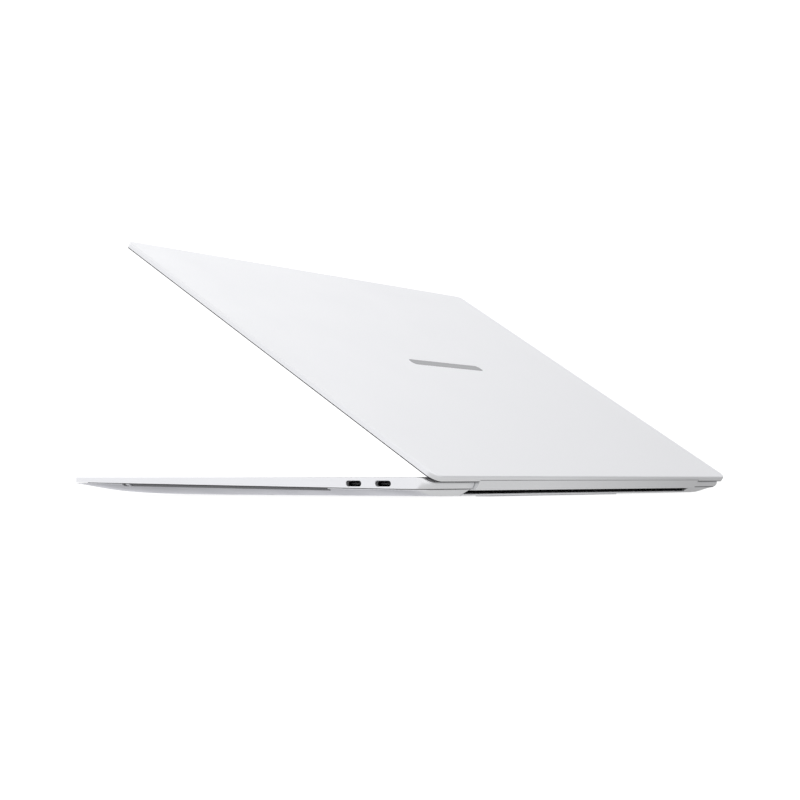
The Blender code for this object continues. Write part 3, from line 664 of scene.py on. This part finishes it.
def make_sound_screens():
    """A screen just inside the sound slots of each side, in a cloth finish."""
    depth, spare = SEAM + SOUND_SLOT_HEIGHT + 0.1, 0.2
    for sign, side in ((-1, "left"), (1, "right")):
        bm = bmesh.new()
        for start, end in SOUND_SLOTS:
            outline = [(start - spare, wall_foot(start) - depth), (end + spare, wall_foot(end) - depth),
                       (end + spare, wall_foot(end) - SEAM), (start - spare, wall_foot(start) - SEAM)]
            add_prism(bm, "X", outline, *mirrored(sign, (153.0, 153.4)))
        screen = raw_object(f"sound_screen_{side}", bm)
        settle_in(screen, "dark_plastic", "base")
        screen.data.materials[0] = SCREEN_CLOTH


def make_seam_shade_strips():
    """A dark strip just inside the seam, along each side and round the corner blocks: painted shade for the shadow
    deep in the seam gap.
    """
    clear, thickness = 0.02, 0.25

    def path(inset):
        side_points = [(INSIDE - inset, y) for y in (FRONT + 9.0, WALL_SLOPE_START, RECESS_FRONT)]
        return side_points + rear_corner(inset) + [(POCKET_NEAR, POCKET_BACK - inset)]

    for sign, side in ((-1, "left"), (1, "right")):
        rings = []
        for outer, inner in zip(path(clear), path(thickness)):
            low, high = wall_foot(outer[1]) - SEAM + clear, wall_foot(outer[1]) + SEAM
            corners = ((outer, low), (inner, low), (inner, high), (outer, high))
            rings.append([Vector((sign * x, y, z)) for (x, y), z in corners])
        bm = bmesh.new()
        add_stack(bm, rings)
        # the strip's dark rubber is painted shade at the back of the seam gap
        settle_in(raw_object(f"seam_shade_strip_{side}", bm), "gasket_rubber", "base")


def make_vent():
    """Black vent bar with upright rounded slats."""
    low, high = box("vent_grille")
    pitch, slat, rail = 7.7, 0.65, 0.5
    count = int(2 * (high.x - 2) / pitch)
    vent = raw_object("rear_vent", block((low.x, high.x), (low.y, high.y), (low.z, high.z)))
    slots = bmesh.new()
    half = pitch / 2 - slat
    for index in range(count):
        x = (index - (count - 1) / 2) * pitch
        outline = rounded_rectangle(x - half, x + half, low.z + rail, high.z - rail, 0.5, 4)
        add_prism(slots, "Y", outline, low.y - 1, high.y + 1)
    carve(vent, slots)
    soften(vent, 0.15, 2)
    settle_in(vent, "dark_plastic", "base", "vent_grille")
    vent.data.materials[0] = BLACK_AND_PAINTED_SHADE


def make_ports():
    """Each socket: a thin steel shell lined in black, and a tongue with two rows of contacts."""
    for node, sign in PORTS.items():
        low, high = box(node)
        y, z = (low.y + high.y) / 2, (low.z + high.z) / 2
        outline = port_outline(node)
        near, far = sorted((abs(low.x), abs(high.x)))
        shell = raw_object(f"{node}_shell", prism("X", outline(PORT_SKIN), *mirrored(sign, (near, far))))
        carve(shell, prism("X", outline(0.12), *mirrored(sign, (near + 0.8, far + 2))))
        soften(shell, 0.1, 2)
        settle_in(shell, "steel", "base", node)
        lining = prism("X", outline(0.1), *mirrored(sign, (near + 0.85, far - 1.2)))
        lining = raw_object(f"{node}_lining", lining)
        carve(lining, prism("X", outline(-0.05), *mirrored(sign, (near + 1.1, far + 2))))
        soften(lining, 0.06, 2)
        settle_in(lining, "dark_plastic", "base")
        lining.data.materials[0] = BLACK_AND_PAINTED_SHADE
        tongue = block(mirrored(sign, (near + 1.15, 151.8)), (y - 3.2, y + 3.2), (z - 0.33, z + 0.33))
        tongue = raw_object(f"{node}_tongue", tongue)
        soften(tongue, 0.1, 2)
        settle_in(tongue, "dark_plastic", "base")
        pins = bmesh.new()
        for step in range(12):
            x = mirrored(sign, (148.6, 151.2))
            offset = y + (step - 5.5) * 0.5
            add_prism(pins, "Z", rectangle(*x, offset - 0.13, offset + 0.13), z - 0.36, z + 0.36)
        contacts = raw_object(f"{node}_contacts", pins)
        settle_in(contacts, "steel", "base")


# ---- keyboard and touchpad ----

KEY_SPACE = 2.4               # between neighbouring caps
LEGENDS = {
    "key_escape": ["esc"],
    "keys_function_row": [f"F{number}" for number in range(1, 13)],
    "keys_number_row": list("`1234567890-="),
    "key_backspace": ["delete"],
    "key_tab": ["tab"],
    "keys_upper_letter_row": list("QWERTYUIOP[]\\"),
    "key_caps_lock": ["caps"],
    "keys_home_letter_row": list("ASDFGHJKL;'"),
    "key_enter": ["enter"],
    "key_shift_left": ["shift"],
    "keys_lower_letter_row": list("ZXCVBNM,./"),
    "key_shift_right": ["shift"],
    "keys_modifiers_left": ["fn", "ctrl", "alt", "menu"],
    "keys_modifiers_right": ["menu", "alt"],
}
KEY_WIDTHS = {"keys_upper_letter_row": [1.0] * 12 + [1.5], "keys_modifiers_left": [1.0, 1.0, 1.0, 1.25],
              "keys_modifiers_right": [1.25, 1.0]}
KEY_CORNER = 1.8
HOMING_KEYS = (3, 6)          # the two keys of the home row with a raised bar
ARROWS = {"key_arrow_left": 180, "key_arrow_down": 270, "key_arrow_right": 0, "key_arrow_up": 90}
KEY_NODES = list(LEGENDS) + ["key_space", "power_button"] + list(ARROWS)


def key_boxes(node):
    """The x and y ranges of a node's keycaps, from its box and its list of widths."""
    low, high = box(node)
    widths = KEY_WIDTHS.get(node, [1.0] * len(LEGENDS.get(node, [""])))
    unit = (high.x - low.x + KEY_SPACE) / sum(widths)
    x = low.x
    boxes = []
    for width in widths:
        boxes.append((x, x + width * unit - KEY_SPACE, low.y, high.y))
        x += width * unit
    return boxes


def add_keycap(bm, rect, low, high):
    """A cap with round corners, slightly leaning sides, a soft top edge and a shallow dish."""
    x0, x1, y0, y1 = rect
    edge, lean = 0.4, 0.12
    levels = [(low, 0.0), (high - edge, lean)]
    levels += [(high - edge + rise, lean + inset) for inset, rise in arc((edge, 0.0), edge, 180, 90, 4)[1:]]
    slope = 0.25 * min(x1 - x0, y1 - y0)
    levels += [(high - 0.03, edge + lean + slope / 2), (high - 0.06, edge + lean + slope)]
    rings = []
    for z, inset in levels:
        corner = max(0.3, KEY_CORNER - inset)
        outline = rounded_rectangle(x0 + inset, x1 - inset, y0 + inset, y1 - inset, corner, 5)
        rings.append([along("Z", p, z) for p in outline])
    add_stack(bm, rings)


def add_text(bm, text, centre, size, low, high):
    """Solid letters standing from one height to another."""
    curve = bpy.data.curves.new("letters", "FONT")
    curve.body = text
    curve.size = size
    curve.resolution_u = 3
    curve.align_x, curve.align_y = "CENTER", "CENTER"
    curve.extrude = (high - low) / 2
    letters = bpy.data.objects.new("letters", curve)
    bpy.context.scene.collection.objects.link(letters)
    mesh = bpy.data.meshes.new_from_object(letters.evaluated_get(bpy.context.evaluated_depsgraph_get()))
    mesh.transform(Matrix.Translation((centre[0], centre[1], (low + high) / 2)))
    bm.from_mesh(mesh)
    bpy.data.objects.remove(letters, do_unlink=True)
    bpy.data.curves.remove(curve)
    bpy.data.meshes.remove(mesh)


def add_key_marks(bm, node, boxes, top):
    """Letters, an arrow's triangle, or the power button's broken ring and bar."""
    low, high = top - 0.12, top - 0.04
    for (x0, x1, y0, y1), text in zip(boxes, LEGENDS.get(node, [])):
        centre = ((x0 + x1) / 2, (y0 + y1) / 2)
        small = len(text) > 1
        add_text(bm, text, centre, 3.3 if small else 5.0, low, high)
    x0, x1, y0, y1 = boxes[0]
    x, y = (x0 + x1) / 2, (y0 + y1) / 2
    if node in ARROWS:
        add_prism(bm, "Z", arc((x, y), 1.1, ARROWS[node], ARROWS[node] + 240, 2), low, high)
    if node == "power_button":
        band = arc((x, y), 1.6, 125, 415, 28) + arc((x, y), 1.25, 415, 125, 28)
        add_prism(bm, "Z", band, low, high)
        add_prism(bm, "Z", rectangle(x - 0.17, x + 0.17, y + 0.3, y + 1.9), low, high)
    bmesh.ops.remove_doubles(bm, verts=bm.verts, dist=0.0005)


def make_keys():
    """Keycaps, joined by a thin bar where one node holds several, and their printed marks."""
    for node in KEY_NODES:
        low, high = box(node)
        boxes = key_boxes(node)
        caps = bmesh.new()
        for rect in boxes:
            add_keycap(caps, rect, low.z, high.z)
        if node == "keys_home_letter_row":
            for index in HOMING_KEYS:
                x0, x1, y0, y1 = boxes[index]
                outline = stadium(((x0 + x1) / 2, y0 + 2.6), 3.0, 0.6, 4)
                add_prism(caps, "Z", outline, high.z - 0.2, high.z + 0.08)
        keys = raw_object(f"{node}_caps", caps)
        if len(boxes) > 1:
            middle = (low.y + high.y) / 2
            web = block((low.x + 2, high.x - 2), (middle - 1.5, middle + 1.5), (low.z + 0.05, low.z + 0.4))
            carve(keys, web, "UNION")
        smooth(keys, SHARP)
        settle_in(keys, "keycap_plastic", node, node)
        if node != "key_space":
            marks = bmesh.new()
            add_key_marks(marks, node, boxes, high.z)
            legend = raw_object(f"{node}_legend", marks)
            settle_in(legend, "frame_plastic", node)
            legend.data.materials[0] = LEGEND


def make_keyboard_frame():
    """The surround: a plate with an opening for every key."""
    low, high = box("keyboard_frame")
    outline = well("keyboard_frame", 0.0, 1.7)(0.0)
    frame_piece = raw_object("key_surround", prism("Z", outline, low.z, high.z))
    room, corner = 0.35, KEY_CORNER + 0.3
    holes = bmesh.new()
    for node in KEY_NODES:
        for x0, x1, y0, y1 in key_boxes(node):
            outline = rounded_rectangle(x0 - room, x1 + room, y0 - room, y1 + room, corner, 5)
            add_prism(holes, "Z", outline, low.z - 1, high.z + 1)
    carve(frame_piece, holes)
    soften(frame_piece, 0.08, 2)
    settle_in(frame_piece, "frame_plastic", "base", "keyboard_frame")


def make_touchpad():
    """A thin plate with a soft upper edge."""
    low, high = box("touchpad")
    edge = 0.2
    levels = [(low.z, 0.0)]
    levels += [(high.z - edge + rise, -inset) for inset, rise in arc((edge, 0.0), edge, 180, 90, 4)]
    pad = raw_object("touchpad_plate", layers("Z", well("touchpad", 0.0, 3.0), levels))
    smooth(pad, SHARP)
    settle_in(pad, "touchpad_surface", "touchpad", "touchpad")


# ---- lid ----

RIM_DROP = 0.4                # the lid wall ends this far above the inner face
INLAY_FRONT, INLAY_BACK, INLAY_HALF = -112.4, -107.0, 35.0
INLAY_CENTRE = (0.0, (INLAY_FRONT + INLAY_BACK) / 2)
BORDER_SIDE, BORDER_TOP, BORDER_BOTTOM = 4.2, 6.5, 7.5


def lid_plan(inset, steps=14):
    """The lid's outline, a function of how far it is drawn in."""
    low, high = lid_box("lid_cover")
    return rounded_rectangle(low.x + inset, high.x - inset, low.y + inset, high.y - inset,
                             FRONT_RADIUS - inset, steps, REAR_RADIUS - inset)


def make_lid_cover():
    """A shallow tray with a small round on its outer edge, a fine chamfer on its rim, and an inlaid bar."""
    high = lid_box("lid_cover")[1]
    rim = lid_box("display_gasket")[0].z + RIM_DROP
    edge, wall, skin, chamfer = 0.8, 1.3, 1.0, 0.16
    levels = [(high.z - skin, wall), (rim, wall), (rim, chamfer), (rim + chamfer, 0.0)]
    levels += [(high.z - edge + rise, inset) for inset, rise in arc((edge, 0.0), edge, 180, 90, 6)]
    cover = raw_object("lid_shell", layers("Z", lid_plan, levels), on_lid=True)
    hinge_low, hinge_high = lid_box("hinge_cover")
    notch = block((hinge_low.x - GAP, hinge_high.x + GAP), (2.0, 8.0), (rim - 1, hinge_high.z + GAP))
    carve(cover, notch, on_lid=True)

    def bar_outline(inset):
        return stadium(INLAY_CENTRE, 2 * (INLAY_HALF - inset), INLAY_BACK - INLAY_FRONT - 2 * inset)

    carve(cover, prism("Z", bar_outline(-0.05), high.z - 0.35, high.z + 1), on_lid=True)
    smooth(cover, 40)
    settle_in(cover, "satin_metal", "lid", "lid_cover")

    levels = [(high.z - 0.3, 0.0), (high.z - 0.1, 0.0), (high.z - 0.03, 0.07)]
    bar = raw_object("lid_inlay", layers("Z", bar_outline, levels), on_lid=True)
    smooth(bar, SHARP)
    settle_in(bar, "steel", "lid")
    bar.data.materials[0] = POLISHED


def make_display():
    """Gasket, cover glass with a dark border, and the small camera window above the picture."""
    low = lid_box("display_gasket")[0]
    top = low.z + RIM_DROP - 0.02
    glass_low, glass_high = lid_box("display_glass")
    gasket = raw_object("screen_gasket", prism("Z", lid_plan(0.15), low.z, top), on_lid=True)
    window = rounded_rectangle(glass_low.x - GAP, glass_high.x + GAP, glass_low.y - GAP,
                               glass_high.y + GAP, 2.1, 14)
    carve(gasket, prism("Z", window, low.z - 1, top + 1), on_lid=True)
    hinge_low, hinge_high = lid_box("hinge_cover")
    space = block((hinge_low.x - GAP, hinge_high.x + GAP), (hinge_low.y - GAP, 8.0), (low.z - 1, top + 1))
    carve(gasket, space, on_lid=True)
    soften(gasket, 0.1, 2)
    settle_in(gasket, "gasket_rubber", "lid", "display_gasket")

    edge, corner = 0.18, 1.85

    def glass_ring(inset, z):
        outline = rounded_rectangle(glass_low.x + inset, glass_high.x - inset, glass_low.y + inset,
                                    glass_high.y - inset, corner - inset, 14)
        return [along("Z", p, z) for p in outline]

    picture = rounded_rectangle(glass_low.x + BORDER_SIDE, glass_high.x - BORDER_SIDE,
                                glass_low.y + BORDER_TOP, glass_high.y - BORDER_BOTTOM, 3.0, 14)
    rings = [[along("Z", p, glass_low.z) for p in picture], glass_ring(edge, glass_low.z),
             glass_ring(0.0, glass_low.z + edge), glass_ring(0.0, glass_high.z)]
    bm = bmesh.new()
    ends = add_stack(bm, rings)
    ends[0].material_index = 1
    glass = raw_object("screen_front", bm, on_lid=True)
    smooth(glass, 40)
    settle_in(glass, "screen_glass", "lid", "display_glass")
    glass.data.materials.append(SCREEN_LIVE)

    lens_y = glass_low.y + BORDER_TOP / 2
    lens = bmesh.new()
    for x, radius in ((0.0, 1.3), (7.0, 0.55)):
        add_prism(lens, "Z", circle((x, lens_y), radius, 24), glass_low.z - 0.02, glass_low.z + 0.1)
    window = raw_object("camera_window", lens, on_lid=True)
    settle_in(window, "screen_glass", "lid")


def hinge_outline(barrel, back, front, bottom, top):
    """Cross-section (y, z): a flat back, a slanting bottom, a round barrel and an upright front."""
    reach = math.hypot(back, bottom)
    tangent = math.degrees(math.atan2(bottom, back) - math.acos(barrel / reach))
    return [(back, top), (back, bottom)] + arc((0.0, 0.0), barrel, tangent, -180.0, 28) + [(front, top)]


def make_hinge_cover():
    """The strip between the corner blocks: a hollow channel round the hinge, bored at its ends."""
    low, high = lid_box("hinge_cover")
    barrel, skin, end_wall, bottom = -low.y, 0.6, 1.1, -1.24
    strip = raw_object("hinge_strip", prism("X", hinge_outline(barrel, high.y, low.y, bottom, high.z),
                                            low.x, high.x), on_lid=True)
    inner = hinge_outline(barrel - skin, high.y - skin, low.y + skin, bottom + 0.38, high.z + 1)
    carve(strip, prism("X", inner, low.x + end_wall, high.x - end_wall), on_lid=True)
    for sign in (-1, 1):
        bore = prism("X", circle((0.0, 0.0), 1.5), *mirrored(sign, (high.x - 2, high.x + 2)))
        carve(strip, bore, on_lid=True)
    soften(strip, 0.22, 3, 40)
    settle_in(strip, "satin_metal", "lid", "hinge_cover")


# ---- camera, light and floor ----

CAMERA_PLACE = (746.2, 505.6, 8.72)
CAMERA_YAW, CAMERA_PITCH = 34.855, 2.76
CAMERA_LENS = 73.24


def make_camera():
    """Low behind the right rear corner, level with the deck and tipped up a little."""
    data = bpy.data.cameras.new("camera")
    data.sensor_width = 36.0
    data.lens = CAMERA_LENS
    data.clip_start = 0.01
    data.clip_end = 60.0
    camera = bpy.data.objects.new("camera", data)
    yaw, pitch = math.radians(CAMERA_YAW), math.radians(CAMERA_PITCH)
    forward = Vector((-math.cos(yaw) * math.cos(pitch), -math.sin(yaw) * math.cos(pitch), math.sin(pitch)))
    camera.location = Vector(CAMERA_PLACE) * MM
    camera.rotation_euler = forward.to_track_quat("-Z", "Y").to_euler()
    bpy.context.scene.collection.objects.link(camera)
    bpy.context.scene.camera = camera


WORLD_STOPS = [(-1.0, 0.2), (-0.6, 0.30), (-0.45, 0.50), (-0.3, 0.95), (-0.15, 1.0), (0.0, 1.0),
               (0.35, 0.98), (0.65, 1.0), (1.0, 0.85)]
WORLD_LEAN = (0.85, -0.5, 0.15)
WORLD_SLOPES = ((-1.0, -0.32, 0.38, 1.09), (-0.3, 0.9, 1.09, 0.95))


def make_world():
    """A white studio: dark straight down, white from just below the horizon up, brighter to one side."""
    world = bpy.data.worlds.new("studio")
    world.use_nodes = True
    bpy.context.scene.world = world
    tree = world.node_tree
    background = tree.nodes["Background"]
    place = tree.nodes.new("ShaderNodeTexCoord")
    split = tree.nodes.new("ShaderNodeSeparateXYZ")
    tree.links.new(place.outputs["Generated"], split.inputs["Vector"])
    lift = tree.nodes.new("ShaderNodeMapRange")
    lift.inputs["From Min"].default_value = -1.0
    tree.links.new(split.outputs["Z"], lift.inputs["Value"])
    shade = tree.nodes.new("ShaderNodeValToRGB")
    stops = shade.color_ramp.elements
    while len(stops) < len(WORLD_STOPS):
        stops.new(0.5)
    for stop, (height, value) in zip(stops, WORLD_STOPS):
        stop.position = (height + 1) / 2
        stop.color = (value, value, value * (1.05 if height < 0 else 1.01), 1.0)
    tree.links.new(lift.outputs["Result"], shade.inputs["Fac"])
    tree.links.new(shade.outputs["Color"], background.inputs["Color"])
    lean = tree.nodes.new("ShaderNodeVectorMath")
    lean.operation = "DOT_PRODUCT"
    lean.inputs[1].default_value = WORLD_LEAN
    tree.links.new(place.outputs["Generated"], lean.inputs[0])
    strength = tree.nodes.new("ShaderNodeMath")
    strength.operation = "MINIMUM"
    for slot, slope in enumerate(WORLD_SLOPES):
        side = tree.nodes.new("ShaderNodeMapRange")
        for name, value in zip(("From Min", "From Max", "To Min", "To Max"), slope):
            side.inputs[name].default_value = value
        tree.links.new(lean.outputs["Value"], side.inputs["Value"])
        tree.links.new(side.outputs["Result"], strength.inputs[slot])
    tree.links.new(strength.outputs["Value"], background.inputs["Strength"])


def area_light(name, place, target, size, power):
    data = bpy.data.lights.new(name, "AREA")
    data.shape = "RECTANGLE"
    data.size, data.size_y = size
    data.energy = power
    light = bpy.data.objects.new(name, data)
    light.location = place
    aim = Vector(target) - Vector(place)
    light.rotation_euler = aim.to_track_quat("-Z", "Y").to_euler()
    bpy.context.scene.collection.objects.link(light)


def glowing(name, colour, glow):
    material = grained(name, colour, 0.9, 0.0, 300.0, 0.01, 0.05, 2.0)
    shader = material.node_tree.nodes["Principled BSDF"]
    shader.inputs["Emission Color"].default_value = (1.0, 1.0, 1.0, 1.0)
    shader.inputs["Emission Strength"].default_value = glow
    return material


def camera_only(obj):
    """It shows behind the object but neither lights, shades nor mirrors in it."""
    obj.visible_diffuse = False
    obj.visible_glossy = False
    obj.visible_transmission = False
    obj.visible_shadow = False


TABLE_GLOW = (0.41, 0.59)     # to the left and to the right of the hinge


def make_floor():
    """A white floor and backdrop for the camera, and a strip of table that only the object mirrors."""
    floor_mesh = bmesh.new()
    bmesh.ops.create_grid(floor_mesh, x_segments=1, y_segments=1, size=8000.0)
    floor = raw_object("floor", floor_mesh)
    floor.data.materials.append(glowing("floor_paint", (0.2, 0.2, 0.2), 0.88))
    camera_only(floor)
    dome_mesh = bmesh.new()
    bmesh.ops.create_uvsphere(dome_mesh, u_segments=64, v_segments=32, radius=9000.0)
    dome = raw_object("backdrop", dome_mesh)
    dome.data.materials.append(glowing("backdrop_paint", (0.2, 0.2, 0.2), 1.05))
    camera_only(dome)
    strip = raw_object("table_glow", prism("Z", rectangle(-3000.0, 3000.0, 100.0, 1500.0), -0.5, -0.02))
    paint = glowing("table_glow_paint", (0.0, 0.0, 0.0), 1.0)
    place = paint.node_tree.nodes.new("ShaderNodeTexCoord")
    split = paint.node_tree.nodes.new("ShaderNodeSeparateXYZ")
    paint.node_tree.links.new(place.outputs["Object"], split.inputs["Vector"])
    feed(paint, "Emission Strength", ramp(paint, split.outputs["X"], *TABLE_GLOW, -0.12, 0.05))
    strip.data.materials.append(paint)
    strip.visible_camera = False


def main():
    dress_cad_nodes()
    make_case()
    make_cover()
    make_underside_details()
    make_sound_screens()
    # dark strips in the base seam: painted shade
    make_seam_shade_strips()
    make_vent()
    make_ports()
    make_keys()
    make_keyboard_frame()
    make_touchpad()
    make_lid_cover()
    make_display()
    make_hinge_cover()
    make_camera()
    make_world()
    make_floor()
    area_light("left_box", (0.9, -1.0, 1.2), (0.0, 0.0, 0.05), (1.2, 1.2), 1.0)
    bpy.context.scene.view_settings.view_transform = "Standard"


main()
